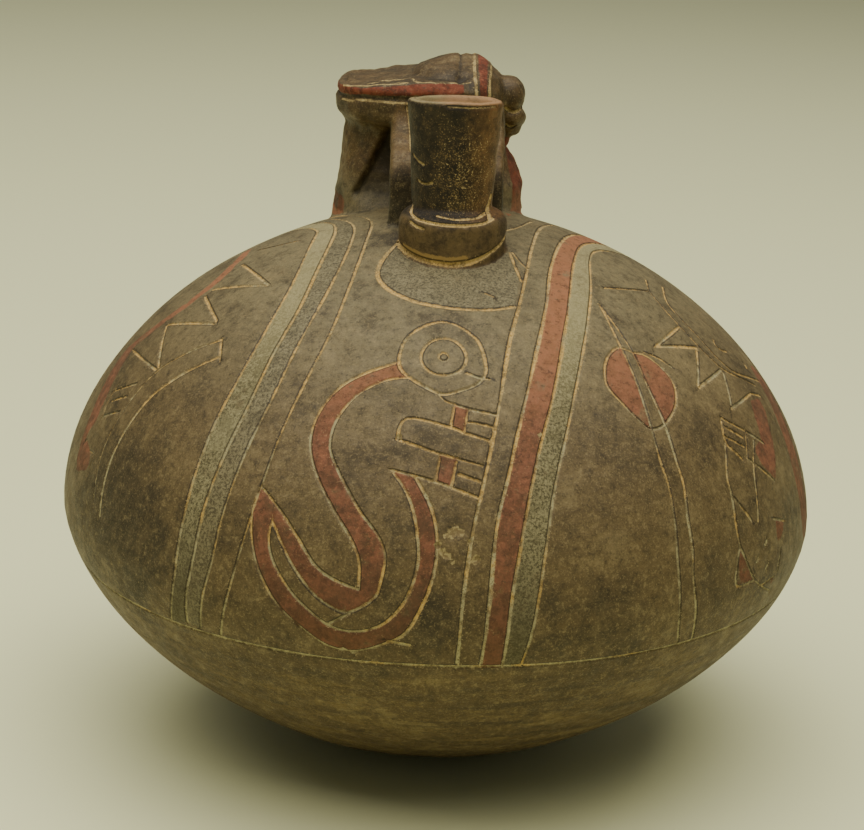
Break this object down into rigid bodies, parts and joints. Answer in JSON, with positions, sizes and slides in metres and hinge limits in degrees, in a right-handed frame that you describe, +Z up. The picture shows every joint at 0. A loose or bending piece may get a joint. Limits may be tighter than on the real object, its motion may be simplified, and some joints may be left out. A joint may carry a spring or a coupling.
{
  "type": "bridge and spout bottle",
  "caption": "Hollow incised clay bottle with a round body, an upright spout, a strap bridge and a small modelled head on its shoulder.",
  "frame": {"origin": "centre of the small flat spot that the bottle stands on", "axes": "+Z up, -Y towards the spout, +Y the way the modelled head looks"},
  "size_m": [0.1838, 0.1838, 0.1678],
  "materials": {
    "clay": "burnished dark brown clay with incised lines and red and grey resin paint"
  },
  "bodies": {
    "root": {"bottle": "clay"}
  },
  "joints": []
}
